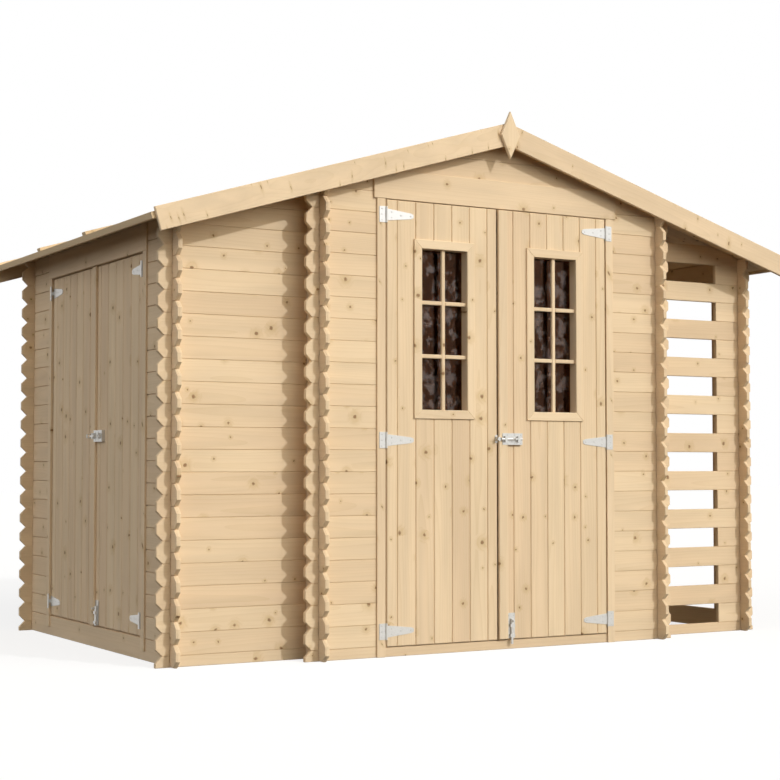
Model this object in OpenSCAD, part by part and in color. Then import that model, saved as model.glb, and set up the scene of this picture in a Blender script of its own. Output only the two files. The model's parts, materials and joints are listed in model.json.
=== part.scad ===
// Log-built garden shed under one shallow roof: a main room with glazed double doors,
// a store bay with its own double doors on the left, and an open log bay on the right.
// Origin: centre of the plan at ground level, +X along the front, +Y to the back, +Z up.

/* [Wall boards] */
// Thickness of a wall board
board_t = 19; // [16:1:28]
// Height that one board covers
board_h = 90; // [80:1:100]
// Length of the board ends past the crossing wall
end_out = 60; // [45:1:80]
// Chamfer on the corners of a board end
end_cut = 27; // [15:1:36]
// Clearance in the half-lap notches
lap_gap = 0.3; // [0.2:0.1:0.5]

/* [Plan] */
// Width of the main room over its walls
room_w = 1767; // [1700:1:1900]
// Depth of the main room over its walls
room_d = 1964; // [1900:1:2200]
// Width of each side bay
bay_w = 598.5; // [560:0.5:760]
// Set-back of the bays behind the main front
bay_set = 110; // [90:1:160]
// Length of the boards beside the front doors
front_pier_w = 284; // [260:1:340]
// Length of the boards beside the side doors
side_pier_w = 272.5; // [250:0.5:340]

/* [Roof] */
// Underside of the roof over the sides of the main room
room_eave_z = 1970.4; // [1950:0.1:2080]
// Clearance between the wall tops and the roof boards
roof_seat = 0.05; // [0.05:0.05:0.3]
// Slope of the roof in degrees
roof_pitch = 16.8; // [15:0.1:20]
// Thickness of the roof boards
roof_t = 19; // [14:1:22]
// Overhang of the roof boards past the outer walls
eave_out = 141; // [110:1:200]
// Clearance between the board ends and the bargeboards
barge_gap = 2; // [1:0.5:6]
// Height of a bargeboard, square to the slope
barge_h = 95; // [80:1:120]
// Thickness of a bargeboard
barge_t = 16; // [14:1:25]
// Rise of a bargeboard above the roof boards
barge_rise = 16; // [10:1:30]
// Height of the strip along each eave
strip_h = 27; // [20:1:40]
// Thickness of the strip along each eave
strip_t = 16; // [8:1:20]
// Width of a batten on the roof
batten_w = 40; // [25:1:60]
// Height of a batten on the roof
batten_h = 14; // [8:1:25]
// Distance between the two battens of a slope
batten_pitch = 597; // [500:1:700]
// Distance from the ridge line to the upper end of a batten
batten_start = 40; // [20:1:90]
// Width of the ridge beam
beam_w = 40; // [30:1:60]
// Height of the ridge beam
beam_h = 58; // [50:1:60]
// Height of a finial
finial_h = 207; // [160:1:240]
// Width of a finial
finial_w = 96; // [70:1:120]
// Height of a finial's centre above the top of the ridge beam
finial_lift = -20; // [-30:1:0]

/* [Doors] */
// Width of a door post
post_w = 39; // [36:1:60]
// Depth of the groove that takes the wall boards
groove_d = 15; // [10:1:20]
// How far posts and leaves stand proud of the wall
proud = 8; // [6:1:18]
// How far the side leaves are set behind the faces of their posts
side_set = 9; // [0:1:12]
// Underside of the head over the front doors
front_head_z = 1907; // [1880:1:1920]
// Underside of the head over the side doors
side_head_z = 1672; // [1640:1:1690]
// Thickness of the boards over the doors
head_t = 10; // [8:1:20]
// Height of the board over the front doors
head_h = 122; // [100:1:126]
// Reach of that board past the posts
head_out = 16; // [10:1:40]
// Running gap round a leaf
leaf_gap = 6; // [5:0.5:8]
// Thickness of a leaf's boards
leaf_t = 19; // [16:1:24]
// Offset of the meeting line from the middle of a doorway
meet_shift = 12; // [8:1:30]
// Width of the strip along the meeting edge
cover_w = 42; // [36:1:90]
// Thickness of that strip
cover_t = 12; // [10:1:20]
// Height of a ledge across the back of a leaf
ledge_h = 90; // [70:1:110]
// Thickness of a ledge
ledge_t = 19; // [16:1:24]
// Distance from the leaf's edges to the ledge ends
ledge_in = 35; // [30:1:60]
// Distance from the leaf's top and bottom to the outer ledges
ledge_off = 80; // [60:1:120]
// Height of the middle ledges on the side doors
ledge_mid_z = 900; // [860:1:930]
// Distance from a window's lining to the ledges above and below it
ledge_win_gap = 12; // [6:1:30]
// How far the side posts lap down over the sill board
post_lap = 50; // [30:1:70]

/* [Windows] */
// Width of a window over its trim
win_w = 303; // [250:1:320]
// Height of a window over its trim
win_h = 758; // [650:1:800]
// Height of a window's middle
win_z = 1367; // [1350:1:1390]
// Width of the window trim
trim_w = 38; // [30:1:50]
// Thickness of the trim on the leaf
trim_t = 8; // [6:1:14]
// Wall of the lining inside the cut-out
lining_t = 11; // [9:1:16]
// Depth of the lining behind the face of the trim
lining_d = 58; // [40:1:64]
// Depth of the glass behind the face of the trim
glass_set = 48; // [20:1:52]
// Thickness of the glass
glass_t = 4; // [3:0.5:6]
// Depth of the glass in the groove of its lining
glass_in = 5; // [3:1:6]
// Clearance between a lining and its leaf, and round the glass
seat_gap = 0.3; // [0.2:0.1:0.5]

/* [Log bay] */
// Length of the blocks between the slats, measured inside the bay
block_l = 137; // [125:1:170]
// Length of the stacked returns beside the loading side
return_l = 190; // [150:1:260]

/* [Fittings] */
// Thickness of the hinge and latch plates
metal_t = 2.5; // [2:0.5:4]
// Radius of a hinge knuckle
knuckle_r = 4; // [4:0.5:6]
// Radius of a hinge pin
pin_r = 2; // [1.5:0.5:2.5]
// Running clearance of the knuckles
knuckle_gap = 0.3; // [0.2:0.1:0.5]
// Height of a hinge plate
plate_h = 67; // [55:1:80]
// Reach of a hinge plate from the hinge line
plate_l = 33; // [28:1:36]
// Reach of the narrow plates on the side posts
side_plate_l = 9; // [8:1:36]
// Reach of a strap from the hinge line
strap_l = 132; // [110:1:160]
// Height of a strap at its root
strap_root = 49; // [40:1:60]
// Height of a strap at its tip
strap_tip = 24; // [18:1:32]
// Height of the lower hinges on the front doors
front_hinge_low = 106; // [90:1:140]
// Height of the middle hinges on the front doors
front_hinge_mid = 897; // [870:1:940]
// Height of the upper hinges on the front doors
front_hinge_high = 1840; // [1800:1:1850]
// Height of the lower hinges on the side doors
side_hinge_low = 160; // [150:1:220]
// Height of the upper hinges on the side doors
side_hinge_high = 1600; // [1560:1:1610]
// Height of the latch on the front doors
front_latch_z = 906; // [880:1:940]
// Height of the latch on the side doors
side_latch_z = 920; // [880:1:940]
// Length of a latch bolt's tip past its plate
latch_in = 12; // [8:1:20]
// Distance from the middle of the side doorway to the latch plate
side_latch_u = 24; // [10:1:28]
// Length of a latch plate
latch_l = 104; // [85:1:120]
// Height of a latch plate
latch_h = 50; // [40:1:60]
// Width of a latch's keeper
keeper_w = 12; // [10:1:20]
// Radius of the latch and drop bolts
bolt_r = 6; // [5:0.5:8]
// Depth that the bolts sink into their plates
rod_sink = 1; // [0.5:0.5:2]
// Length of a drop bolt's plate
drop_l = 108; // [100:1:150]
// Width of a drop bolt's plate
drop_w = 36; // [30:1:44]

/* [Hidden] */
$fn = 48;
wall_x = room_w/2 + bay_w;
room_x = room_w/2;
room_y = room_d/2;
bay_y = room_y - bay_set;
slope = tan(roof_pitch);
ridge_z = room_eave_z + room_x*slope;
eave_z = room_eave_z - bay_w*slope;
roof_y = room_y + end_out + barge_gap;
roof_l = (wall_x + eave_out)/cos(roof_pitch);
tall = ceil((ridge_z + board_h)/board_h);
half = board_h/2;
// Last joint under the head of the front doors, and of the side doors
gable_z = half + board_h*floor((front_head_z - half)/board_h);
header_z = board_h*floor(side_head_z/board_h);
// The top of the log bay's front is a slat
slats = ceil(((eave_z - half)/board_h - 2)/2);
slat_top = half + board_h*(2*slats + 2);
// Half-widths of the openings in the walls, and between the posts in them
front_wall_u = room_x - front_pier_w;
side_wall_u = bay_y - side_pier_w;
front_u = front_wall_u + groove_d - post_w;
side_u = side_wall_u + groove_d - post_w;
win_u = front_u/2;
knuckle_set = knuckle_r + knuckle_gap;
front_low = half;
side_low = board_h + leaf_gap;
front_hinge_z = [front_hinge_low, front_hinge_mid, front_hinge_high];
side_hinge_z = [side_hinge_low, side_hinge_high];
far = 2*(room_d + room_w + bay_w);
pine = "burlywood";
pale_pine = "wheat";
warm_pine = "tan";
zinc = "gainsboro";

// Stacked boards

// One chamfered board end after another, as offsets from the tip, going up from a joint
function end_steps(joint, count) = [for (k = [0:count - 1])
    for (p = [[0, end_cut], [0, board_h - end_cut], [-end_cut, board_h]])
        [p[0], joint + k*board_h + p[1]]];

// The end of a stack that starts with half a board, or with a whole one at a joint
function stack_end(from, to) = from == 0
    ? concat([[0, 0], [0, half - end_cut], [-end_cut, half]],
        end_steps(half, round((to - half)/board_h)))
    : concat([[-end_cut, from]], end_steps(from, round((to - from)/board_h)));
function whole_end(from, to) =
    concat([[-end_cut, from]], end_steps(from, round((to - from)/board_h)));
function plain_end(from, to) = [[0, from], [0, to]];

// Outline of a wall between two ends that are placed at their tips
function outline(left, left_end, right, right_end) = concat(
    [for (p = right_end) [right + p[0], p[1]]],
    [for (k = [len(left_end) - 1:-1:0]) [left - left_end[k][0], left_end[k][1]]]);

// A wall across the front, with its outer face at y, or along a side from x
module across(y) {
    translate([0, y + board_t, 0]) rotate([90, 0, 0]) linear_extrude(board_t) children();
}
module along(x) {
    translate([x, 0, 0]) rotate([90, 0, 90]) linear_extrude(board_t) children();
}

// Half-lap notches for a crossing wall that starts at s; the notches of the front and
// back walls are half a board above those of the side walls
module laps(s, phase, from, to) {
    for (k = [ceil((from - phase)/board_h - 0.5):floor((to - phase)/board_h + 0.5)])
        translate([s - lap_gap, phase + k*board_h - board_h/4 - lap_gap])
            square([board_t + 2*lap_gap, half + 2*lap_gap]);
}

// Everything below the underside of the roof
module under_roof() {
    top = ridge_z - roof_seat;
    rotate([90, 0, 0]) linear_extrude(far, center = true)
        polygon([[-far, -board_h], [far, -board_h], [far, top - far*slope],
            [0, top], [-far, top - far*slope]]);
}

module beam_outline() {
    top = ridge_z - roof_seat;
    edge = top - beam_w/2*slope;
    polygon([[-beam_w/2, ridge_z - beam_h], [beam_w/2, ridge_z - beam_h],
        [beam_w/2, edge], [0, top], [-beam_w/2, edge]]);
}
// Slot for the beam, open at the top of a gable
module beam_slot() {
    translate([-beam_w/2 - lap_gap, ridge_z - beam_h - lap_gap])
        square([beam_w + 2*lap_gap, beam_h + board_h]);
}

module mirrored_x() {
    children();
    mirror([1, 0, 0]) children();
}
module mirrored_y() {
    children();
    mirror([0, 1, 0]) children();
}

// Main room

module front_wall_piers() color(pine) mirrored_x()
    across(-room_y) difference() {
        polygon(outline(front_wall_u, plain_end(0, gable_z), room_x + end_out, stack_end(0, gable_z)));
        laps(room_x - board_t, half, 0, gable_z);
    }

// Boards over the doors, up to the ridge
module gable_boards(y, from) {
    top = from + board_h*ceil((ridge_z - from)/board_h + 1);
    tip = room_x + end_out;
    ends = stack_end(from, top);
    intersection() {
        across(y) difference() {
            polygon(outline(-tip, ends, tip, ends));
            laps(room_x - board_t, half, from, top);
            laps(-room_x, half, from, top);
            beam_slot();
        }
        under_roof();
    }
}

module front_gable() color(pine) difference() {
    gable_boards(-room_y, gable_z);
    translate([-front_wall_u, -room_y - board_t, gable_z - board_t])
        cube([2*front_wall_u, 3*board_t, front_head_z - gable_z + board_t]);
}

module front_sill() color(pine) across(-room_y)
    translate([-front_u, 0]) square([2*front_u, half - leaf_gap]);

module back_wall() color(pine) mirror([0, 1, 0]) gable_boards(-room_y, 0);

module partition(x) {
    top = board_h*tall;
    tip = room_y + end_out;
    intersection() {
        along(x) difference() {
            polygon(outline(-tip, whole_end(0, top), tip, whole_end(0, top)));
            laps(-room_y, 0, 0, top);
            laps(room_y - board_t, 0, 0, top);
        }
        under_roof();
    }
}
module partitions() color(pale_pine) mirrored_x() partition(room_x - board_t);

// Left store bay

module bay_wall() {
    top = half + board_h*tall;
    intersection() {
        across(-bay_y) difference() {
            polygon(outline(-wall_x - end_out, stack_end(0, top), -room_x, plain_end(0, top)));
            laps(-wall_x, half, 0, top);
        }
        under_roof();
    }
}
module left_bay_end_walls() color(pine) mirrored_y() bay_wall();

// A run of side-wall boards along the whole bay, between two joints
module side_run(x, from, to) {
    tip = bay_y + end_out;
    intersection() {
        along(x) difference() {
            polygon(outline(-tip, whole_end(from, to), tip, whole_end(from, to)));
            laps(-bay_y, 0, from, to);
            laps(bay_y - board_t, 0, from, to);
        }
        under_roof();
    }
}

// A stack of side-wall boards from the corner to the place where it stops
module side_stack(x, stop, from, to) {
    mirrored_y() along(x) difference() {
        polygon(outline(stop, plain_end(from, to), bay_y + end_out, whole_end(from, to)));
        laps(bay_y - board_t, 0, from, to);
    }
}

module left_wall_piers() color(pale_pine) side_stack(-wall_x, side_wall_u, board_h, header_z);
module left_wall_header() color(pale_pine) difference() {
    side_run(-wall_x, header_z, board_h*tall);
    translate([-wall_x - board_t, -side_wall_u, header_z - board_t])
        cube([3*board_t, 2*side_wall_u, side_head_z - header_z + board_t]);
}

// Log bay

// Slats with a block at each end of every gap, over a half board on the ground
module log_slats() {
    intersection() {
        across(-bay_y) difference() {
            polygon(outline(room_x, plain_end(0, slat_top), wall_x + end_out, stack_end(0, slat_top)));
            laps(wall_x - board_t, half, 0, slat_top);
            for (k = [0:slats])
                translate([room_x + block_l, half + 2*k*board_h])
                    square([bay_w - board_t - 2*block_l, board_h]);
        }
        under_roof();
    }
}
module log_bay_slats() color(pine) mirrored_y() log_slats();
module log_side_returns() color(pale_pine)
    side_stack(wall_x - board_t, bay_y - return_l, board_h, header_z);
module log_side_header() color(pale_pine) difference() {
    stop = bay_y - return_l;
    side_run(wall_x - board_t, header_z, board_h*tall);
    translate([wall_x - 2*board_t, -stop, header_z - board_t])
        cube([3*board_t, 2*stop, side_head_z - header_z + board_t]);
}

// Lowest boards of the left wall and of the loading side
module side_sills() color(pale_pine) mirrored_x() side_run(wall_x - board_t, 0, board_h);

// Roof

// A profile drawn along the right slope: x down the slope, y out of it
module slope_run(y, length) {
    translate([0, y + length, 0]) rotate([90, 0, 0]) linear_extrude(length)
        translate([0, ridge_z]) rotate(-roof_pitch) children();
}
// A board along the slope that is cut plumb at the ridge and square at the eave
module slope_board(low, high, reach) {
    polygon([[-low*slope, low], [reach, low], [reach, high], [-high*slope, high]]);
}

module roof_boards() slope_run(-roof_y, 2*roof_y) slope_board(0, roof_t, roof_l);
module roof_right_boards() color(warm_pine) roof_boards();
module roof_left_boards() color(warm_pine) mirror([1, 0, 0]) roof_boards();

module ridge_beam() color(pine) translate([0, roof_y, 0]) rotate([90, 0, 0])
    linear_extrude(2*roof_y) beam_outline();

module bargeboards() mirrored_y() slope_run(-roof_y - barge_t, barge_t)
    slope_board(roof_t + barge_rise - barge_h, roof_t + barge_rise, roof_l);
module right_bargeboards() color(pale_pine) bargeboards();
module left_bargeboards() color(pale_pine) mirror([1, 0, 0]) bargeboards();

module finials() color(pale_pine) mirrored_y()
    translate([0, -roof_y - barge_t, ridge_z + finial_lift]) rotate([90, 0, 0])
        linear_extrude(barge_t)
            polygon([[0, -finial_h/2], [finial_w/2, 0], [0, finial_h/2], [-finial_w/2, 0]]);

module eave_strips() color(warm_pine) mirrored_x() slope_run(-roof_y, 2*roof_y)
    translate([roof_l, roof_t - strip_h]) square([strip_t, strip_h]);

module roof_battens() color(warm_pine) mirrored_x() for (side = [-1, 1])
    slope_run(side*batten_pitch/2 - batten_w/2, batten_w)
        translate([batten_start, roof_t]) square([roof_l + strip_t - batten_start, batten_h]);

// Doorways: u runs across the doorway from its middle, the wall's outer face is at y = 0 and
// outside is towards -y; side is half the width between the posts, and the leaf with the
// strip is the one at positive u

module at_front() translate([0, -room_y, 0]) children();
module at_side(inset = 0) translate([inset - wall_x, 0, 0]) rotate([0, 0, -90]) children();

// A post with a groove for the ends of the wall boards
module post(side, low, high) {
    depth = board_t + 2*proud;
    difference() {
        translate([side, -proud, low]) cube([post_w, depth, high - low]);
        translate([side + post_w - groove_d - lap_gap, -lap_gap, low - board_h])
            cube([post_w, board_t + 2*lap_gap, high - low + 2*board_h]);
    }
}
// A board over a doorway, between two heights
module head_board(reach, low, high) {
    translate([-reach, -head_t, low]) cube([2*reach, head_t, high - low]);
}

module front_door_posts() color(pale_pine) at_front() mirrored_x() post(front_u, 0, front_head_z);
module front_head_board() color(pale_pine) at_front()
    head_board(front_u + post_w + head_out, front_head_z, front_head_z + head_h);
module side_door_posts() color(pale_pine) at_side() mirrored_x() {
    post(side_u, board_h, side_head_z);
    translate([side_u, -proud, board_h - post_lap]) cube([post_w, proud, post_lap]);
}
module side_head_board() color(pale_pine) at_side()
    head_board(side_u + post_w, side_head_z, eave_z - head_t*slope - seat_gap);

// Leaf at negative u, up to the meeting line, or the one at positive u with the strip
function leaf_from(side, strip) = strip ? -meet_shift : leaf_gap - side;
function leaf_to(side, strip) = strip ? side - leaf_gap : -meet_shift - leaf_gap;
module leaf_boards(side, strip, low, high) {
    from = leaf_from(side, strip);
    translate([from, -proud, low]) cube([leaf_to(side, strip) - from, leaf_t, high - leaf_gap - low]);
}
module ledge(side, strip, z) {
    from = leaf_from(side, strip) + ledge_in;
    translate([from, leaf_t - proud, z - ledge_h/2])
        cube([leaf_to(side, strip) - ledge_in - from, ledge_t, ledge_h]);
}
// The lower ledge goes by the leaf's foot, the others are given
module ledges(side, strip, low, upper) {
    for (z = concat([low + ledge_off + ledge_h/2], upper)) ledge(side, strip, z);
}
module cover_strip(low, high) {
    translate([-meet_shift, -proud - cover_t, low]) cube([cover_w, cover_t, high - leaf_gap - low]);
}

// Windows

module win_block(u, w, h, front, back) {
    translate([u - w/2, front, win_z - h/2]) cube([w, back - front, h]);
}
// Glass, trim, lining and ledges share these sizes
glass_w = win_w - 2*trim_w;
glass_h = win_h - 2*trim_w;
trim_y = -proud - trim_t;
ledge_away = glass_h/2 + lining_t + seat_gap + ledge_win_gap + ledge_h/2;
front_ledge_z = [win_z - ledge_away, win_z + ledge_away];
side_ledge_z = [ledge_mid_z, side_head_z - leaf_gap - ledge_off - ledge_h/2];
module window_cut(u) win_block(u, glass_w + 2*(lining_t + seat_gap),
    glass_h + 2*(lining_t + seat_gap), -proud - leaf_t, leaf_t);
module pane(u, gap) win_block(u, glass_w + 2*(glass_in + gap), glass_h + 2*(glass_in + gap),
    trim_y + glass_set - gap, trim_y + glass_set + glass_t + gap);
module window_frame(u) {
    difference() {
        union() {
            win_block(u, win_w, win_h, trim_y, -proud);
            win_block(u, glass_w + 2*lining_t, glass_h + 2*lining_t, trim_y, trim_y + lining_d);
        }
        win_block(u, glass_w, glass_h, trim_y - trim_t, trim_y + lining_d + trim_t);
        pane(u, seat_gap);
    }
}

// Hinges, drawn about the hinge line: the leaf is towards +x, the faces at y = knuckle_set

module knuckle(low, high) translate([0, 0, low]) cylinder(r = knuckle_r, h = high - low);
module tab(from, to, low, high)
    translate([from, knuckle_set - metal_t, low]) cube([to - from, metal_t, high - low]);

// Plate with the two outer knuckles and the pin
module hinge_plate(reach) {
    split = strap_root/2 - plate_h/4;
    tab(-reach, -knuckle_r - 2*knuckle_gap, -plate_h/2, plate_h/2);
    for (end = [0, 1]) mirror([0, 0, end]) {
        knuckle(split + knuckle_gap, plate_h/2);
        tab(-reach, 0, split + knuckle_gap, plate_h/2);
    }
    translate([0, 0, -plate_h/2]) cylinder(r = pin_r, h = plate_h);
}
// Tapered strap with the middle knuckle, cranked back to a leaf that is set behind its post
module hinge_strap(inset) {
    split = strap_root/2 - plate_h/4;
    root = knuckle_r + 2*knuckle_gap;
    tip = strap_l - strap_tip/2;
    difference() {
        union() {
            knuckle(-split + knuckle_gap, split - knuckle_gap);
            tab(0, root + metal_t, -split + knuckle_gap, split - knuckle_gap);
            if (inset > 0) translate([root, knuckle_set - metal_t, -split + knuckle_gap])
                cube([metal_t, inset + metal_t, 2*(split - knuckle_gap)]);
            translate([0, knuckle_set + inset, 0]) rotate([90, 0, 0]) linear_extrude(metal_t)
                polygon([[root, -strap_root/2], [tip, -strap_tip/2], [strap_l, -strap_tip/4],
                    [strap_l, strap_tip/4], [tip, strap_tip/2], [root, strap_root/2]]);
        }
        translate([0, 0, -plate_h]) cylinder(r = pin_r + knuckle_gap, h = 2*plate_h);
    }
}
// Each hinge on the post at negative u, or mirrored onto the one at positive u
module hinge_line(side, strip, heights) {
    for (z = heights) mirror([strip ? 1 : 0, 0, 0])
        translate([leaf_gap/2 - side, -proud - knuckle_set, z]) children();
}
module hinge_plates(side, heights, reach)
    for (strip = [false, true]) hinge_line(side, strip, heights) hinge_plate(reach);

// Latches and drop bolts, all drawn back so that each leaf opens by itself

// Distance from the face that carries a bolt's plate out to the middle of its rod
rod_off = metal_t + bolt_r - rod_sink;
// The rod's guides reach from inside the plate to half a plate past the rod
guide_d = 2*bolt_r + metal_t - rod_sink;
module guide(u, z, w, h, face) {
    translate([u - w/2, face - metal_t/2 - guide_d, z - h/2]) cube([w, guide_d, h]);
}

// Barrel bolt along +u, with its plate on the strip and a folded foot down to the leaf
module latch(z) {
    face = -proud - cover_t;
    tall = latch_h/2;
    translate([0, face - metal_t, z - tall]) cube([latch_l, metal_t, latch_h]);
    translate([latch_l - metal_t, face - metal_t/2, z - tall])
        cube([metal_t, cover_t + metal_t/2, latch_h]);
    translate([-latch_in, face - rod_off, z]) rotate([0, 90, 0])
        cylinder(r = bolt_r, h = latch_in + latch_l - bolt_r);
    for (u = [tall/2, latch_l - tall]) guide(u, z, 2*bolt_r, tall, face);
    translate([latch_l*0.55, face - rod_off, z]) rotate([90, 0, 0])
        cylinder(r = bolt_r*0.7, h = 3*bolt_r);
}
// Tower bolt at the foot of a leaf, on a face at y = face, with its tip below the plate
module drop_bolt(u, face, low, drop) {
    foot = low + metal_t;
    translate([u - drop_w/2, face - metal_t, foot]) cube([drop_w, metal_t, drop_l]);
    translate([u, face - rod_off, foot - drop]) cylinder(r = bolt_r, h = drop_l - latch_h/2 + drop);
    for (z = [foot + 2*bolt_r, foot + drop_l/2]) guide(u, z, 4*bolt_r, 2*bolt_r, face);
    translate([u, face - rod_off, foot + drop_l*0.68]) rotate([90, 0, 0])
        cylinder(r = bolt_r*0.7, h = 3*bolt_r);
}
// Staple along +u on the other leaf, in line with the latch
module keeper(z) {
    rod_y = -proud - cover_t - rod_off;
    wall = bolt_r + metal_t;
    difference() {
        union() {
            translate([0, -proud - metal_t, z - 2*wall]) cube([keeper_w, metal_t, 4*wall]);
            translate([metal_t/2, rod_y - wall, z - wall])
                cube([keeper_w - metal_t, -proud - metal_t/2 - rod_y + wall, 2*wall]);
        }
        translate([-latch_h, rod_y, z]) rotate([0, 90, 0])
            cylinder(r = bolt_r + knuckle_gap, h = 2*latch_h);
    }
}
// Fittings at the meeting edge of the leaf with the strip, and of the other leaf
module latch_set(z, low, start, drop) {
    translate([start, 0, 0]) latch(z);
    drop_bolt(cover_w - meet_shift + drop_w/2 + metal_t, -proud, low, drop);
}
module keeper_set(z) translate([-meet_shift - leaf_gap, 0, 0]) mirror([1, 0, 0]) keeper(z);

// Front doors

module front_hinge_plates() color(zinc) at_front() hinge_plates(front_u, front_hinge_z, plate_l);
module front_left_leaf() color(pine) at_front() difference() {
    leaf_boards(front_u, false, front_low, front_head_z);
    window_cut(-win_u);
}
module front_left_ledges() color(warm_pine) at_front()
    ledges(front_u, false, front_low, front_ledge_z);
module front_left_window_frame() color(pale_pine) at_front() window_frame(-win_u);
module front_left_glass() color("darkslategray") at_front() pane(-win_u, 0);
module front_left_fittings() color(zinc) at_front() {
    hinge_line(front_u, false, front_hinge_z) hinge_strap(0);
    keeper_set(front_latch_z);
}
module front_right_leaf() color(pine) at_front() difference() {
    leaf_boards(front_u, true, front_low, front_head_z);
    window_cut(win_u);
}
module front_right_ledges() color(warm_pine) at_front()
    ledges(front_u, true, front_low, front_ledge_z);
module front_right_window_frame() color(pale_pine) at_front() window_frame(win_u);
module front_right_glass() color("darkslategray") at_front() pane(win_u, 0);
module front_right_strip() color(pale_pine) at_front() cover_strip(front_low, front_head_z);
module front_right_fittings() color(zinc) at_front() {
    hinge_line(front_u, true, front_hinge_z) hinge_strap(0);
    latch_set(front_latch_z, front_low, latch_in - meet_shift, latch_h/2);
}

// Side doors: the same set behind the faces of the posts, with the strip on the front leaf

module side_hinge_plates() color(zinc) at_side() hinge_plates(side_u, side_hinge_z, side_plate_l);
module side_front_leaf() color(pine) at_side(side_set)
    leaf_boards(side_u, true, side_low, side_head_z);
module side_front_ledges() color(warm_pine) at_side(side_set)
    ledges(side_u, true, side_low, side_ledge_z);
module side_front_strip() color(pale_pine) at_side(side_set) cover_strip(side_low, side_head_z);
module side_front_fittings() color(zinc) {
    at_side() hinge_line(side_u, true, side_hinge_z) hinge_strap(side_set);
    at_side(side_set) latch_set(side_latch_z, side_low, side_latch_u, rod_sink);
}
module side_back_leaf() color(pine) at_side(side_set)
    leaf_boards(side_u, false, side_low, side_head_z);
module side_back_ledges() color(warm_pine) at_side(side_set)
    ledges(side_u, false, side_low, side_ledge_z);
module side_back_fittings() color(zinc) {
    at_side() hinge_line(side_u, false, side_hinge_z) hinge_strap(side_set);
    at_side(side_set) keeper_set(side_latch_z);
}

front_wall_piers();
front_gable();
front_sill();
back_wall();
partitions();
left_bay_end_walls();
left_wall_piers();
left_wall_header();
log_bay_slats();
log_side_returns();
log_side_header();
side_sills();
roof_left_boards();
roof_right_boards();
ridge_beam();
left_bargeboards();
right_bargeboards();
finials();
eave_strips();
roof_battens();
front_door_posts();
front_head_board();
side_door_posts();
side_head_board();
front_hinge_plates();
side_hinge_plates();
front_left_leaf();
front_left_ledges();
front_left_window_frame();
front_left_glass();
front_left_fittings();
front_right_leaf();
front_right_ledges();
front_right_window_frame();
front_right_glass();
front_right_strip();
front_right_fittings();
side_front_leaf();
side_front_ledges();
side_front_strip();
side_front_fittings();
side_back_leaf();
side_back_ledges();
side_back_fittings();
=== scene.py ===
import json
import math
import random

import bpy
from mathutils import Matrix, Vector


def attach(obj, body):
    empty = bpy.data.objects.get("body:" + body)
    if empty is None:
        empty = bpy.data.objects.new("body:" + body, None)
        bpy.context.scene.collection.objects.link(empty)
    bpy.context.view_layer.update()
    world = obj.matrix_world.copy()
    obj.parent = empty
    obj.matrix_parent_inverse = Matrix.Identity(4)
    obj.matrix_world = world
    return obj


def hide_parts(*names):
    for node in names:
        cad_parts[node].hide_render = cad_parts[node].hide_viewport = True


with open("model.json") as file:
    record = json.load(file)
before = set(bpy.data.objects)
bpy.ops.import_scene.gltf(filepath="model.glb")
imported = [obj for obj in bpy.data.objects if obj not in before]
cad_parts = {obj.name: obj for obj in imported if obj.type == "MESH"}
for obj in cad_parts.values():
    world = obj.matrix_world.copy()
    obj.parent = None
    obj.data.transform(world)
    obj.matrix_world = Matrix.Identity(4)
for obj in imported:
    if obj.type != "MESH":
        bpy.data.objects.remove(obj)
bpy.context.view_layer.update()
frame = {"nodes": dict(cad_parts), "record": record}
print("frame loaded", len(frame["nodes"]), "nodes")

bodyOf = {n: b for b, members in frame["record"]["behaviour"]["bodies"].items() for n in members}
slotOf = {p["node"]: p["material_slot"] for p in frame["record"]["subparts"]}
mm = 0.001


def addObject(name, data):
    obj = bpy.data.objects.new(name, data)
    bpy.context.scene.collection.objects.link(obj)
    return obj


# camera at the photograph's viewing angle
viewpoint = {"place": (-3.994, -6.924, 0.788), "turn": (92.65, 0.0, -30.1), "lens": 76.08, "sensor": 36.0}


def addCamera(v):
    data = bpy.data.cameras.new("viewpoint")
    data.lens = v["lens"]
    data.sensor_width = v["sensor"]
    obj = addObject("viewpoint", data)
    obj.location = v["place"]
    obj.rotation_euler = [math.radians(a) for a in v["turn"]]
    bpy.context.scene.camera = obj


addCamera(viewpoint)

# measures of the shed and its doors in millimetres, most of them as the part has them
shed = {"boardT": 19.0, "boardH": 90.0, "endOut": 60.0, "endCut": 27.0, "lapGap": 0.3,
        "roomX": 883.5, "roomY": 982.0, "wallX": 1482.0, "bayY": 872.0,
        "roomEave": 1970.4, "pitch": 16.8, "seat": 0.05, "topGap": 0.1, "topLap": 1800.0,
        "wallU": 599.5, "postU": 575.5, "returnU": 682.0, "frontHead": 1907.0, "sideHead": 1672.0,
        "gableZ": 1845.0, "headerZ": 1620.0, "slotHalf": 20.3, "slotDeep": 58.3, "thinTop": 12.0}
doors = {"proud": 8.0, "postW": 39.0, "grooveD": 15.0, "headT": 10.0, "headH": 122.0, "headOut": 16.0,
         "gap": 6.0, "leafT": 19.0, "sideSet": 9.0, "shift": 12.0, "coverW": 42.0, "coverT": 12.0,
         "postLap": 50.0, "ledgeH": 90.0, "ledgeT": 19.0, "ledgeIn": 35.0, "ledgeOff": 80.0,
         "ledgeMid": 900.0, "ledgeAway": 12.0, "frontLow": 45.0, "sideLow": 96.0,
         "stopT": 12.0, "stopDown": 22.0, "close": 3.5, "thinBoard": 8.0, "thinRim": 12.0, "seatGap": 0.3,
         "frontJoint": {"edge": 3.2, "groove": (0.6, 5.0)}, "sideJoint": {"edge": 4.6, "groove": (1.8, 9.0)}}
boardT, boardH, lapGap, endOut = (shed[k] for k in ("boardT", "boardH", "lapGap", "endOut"))
roomX, roomY, wallX, bayY = (shed[k] for k in ("roomX", "roomY", "wallX", "bayY"))
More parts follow.
